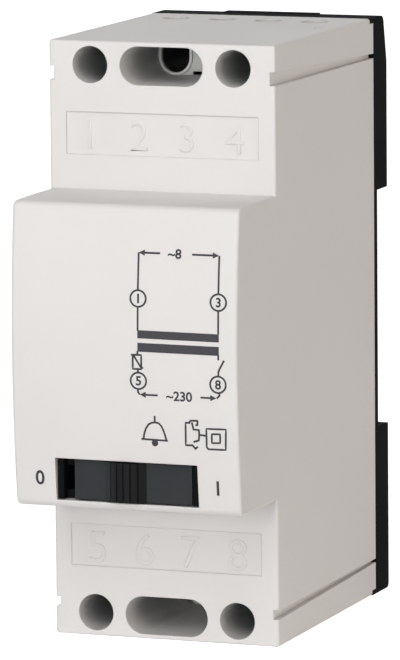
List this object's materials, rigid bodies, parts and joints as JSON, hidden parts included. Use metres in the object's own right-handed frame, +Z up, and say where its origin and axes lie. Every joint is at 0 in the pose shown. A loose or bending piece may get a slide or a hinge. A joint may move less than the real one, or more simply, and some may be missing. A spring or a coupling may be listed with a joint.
{
  "type": "doorbell transformer",
  "caption": "Grey stepped modular doorbell transformer for a mounting rail, with a black rail base, recessed screw terminals at both ends and a slide switch in the bowed nose.",
  "frame": {"origin": "centre of the flat at the back that lies on the mounting rail", "axes": "+Y out of the back towards the rail, +Z up along the height, +X to the right of someone facing the nose"},
  "size_m": [0.0354, 0.0663, 0.0891],
  "materials": {
    "grey_abs": "moulded, fine matt",
    "black_polyamide": "moulded, satin",
    "spring_steel": "bright drawn wire",
    "laminated_steel": "punched sheet, varnished",
    "natural_polyamide": "moulded, satin",
    "enamelled_copper": "enamelled wire",
    "polyester_tape": "wound film",
    "tinned_brass": "tin plated",
    "light_polyamide": "moulded, satin",
    "zinc_plated_steel": "zinc plated",
    "thermistor_ceramic": "lacquered ceramic",
    "switch_black": "moulded, satin",
    "switch_grey": "moulded, satin",
    "spring_bronze": "rolled strip",
    "phenolic_board": "laminated board",
    "red_pvc": "extruded",
    "brown_pvc": "extruded",
    "blue_pvc": "extruded"
  },
  "bodies": {
    "case": {"bobbin": "natural_polyamide", "core_e_stack": "laminated_steel", "core_i_stack": "laminated_steel", "front_housing": "grey_abs", "lead_secondary_1": "red_pvc", "lead_secondary_3": "red_pvc", "lead_switch_8": "brown_pvc", "lead_switch_coil": "brown_pvc", "lead_thermistor_5": "blue_pvc", "lead_thermistor_coil": "blue_pvc", "lower_latch_spring": "spring_steel", "lower_terminal_carrier": "light_polyamide", "primary_pins": "tinned_brass", "primary_tape": "polyester_tape", "primary_winding": "enamelled_copper", "ptc_thermistor": "thermistor_ceramic", "rail_base": "black_polyamide", "secondary_pins": "tinned_brass", "secondary_tape": "polyester_tape", "secondary_winding": "enamelled_copper", "switch_board": "phenolic_board", "switch_contact_line": "tinned_brass", "switch_contact_load": "tinned_brass", "switch_frame": "switch_black", "terminal_clamp_1": "zinc_plated_steel", "terminal_clamp_3": "zinc_plated_steel", "terminal_clamp_5": "zinc_plated_steel", "terminal_clamp_8": "zinc_plated_steel", "terminal_screws": "zinc_plated_steel", "terminal_tab_1": "tinned_brass", "terminal_tab_3": "tinned_brass", "terminal_tab_5": "tinned_brass", "terminal_tab_8": "tinned_brass", "upper_latch_spring": "spring_steel", "upper_terminal_carrier": "light_polyamide"},
    "switch_slider": {"switch_slider": "switch_grey", "switch_bridge": "spring_bronze"},
    "upper_rail_latch": {"upper_rail_latch": "black_polyamide"},
    "lower_rail_latch": {"lower_rail_latch": "black_polyamide"}
  },
  "joints": [
    {"name": "switch_slide", "type": "slide", "parent": "case", "child": "switch_slider", "axis": [-1, 0, 0], "range_m": [0, 0.0016]},
    {"name": "upper_latch_slide", "type": "slide", "parent": "case", "child": "upper_rail_latch", "axis": [0, 0, 1], "range_m": [0, 0.0025], "stiffness_N_per_m": 1500, "springref_m": -0.001, "deforming": ["upper_latch_spring"]},
    {"name": "lower_latch_slide", "type": "slide", "parent": "case", "child": "lower_rail_latch", "axis": [0, 0, -1], "range_m": [0, 0.0025], "stiffness_N_per_m": 1500, "springref_m": -0.001, "deforming": ["lower_latch_spring"]}
  ]
}
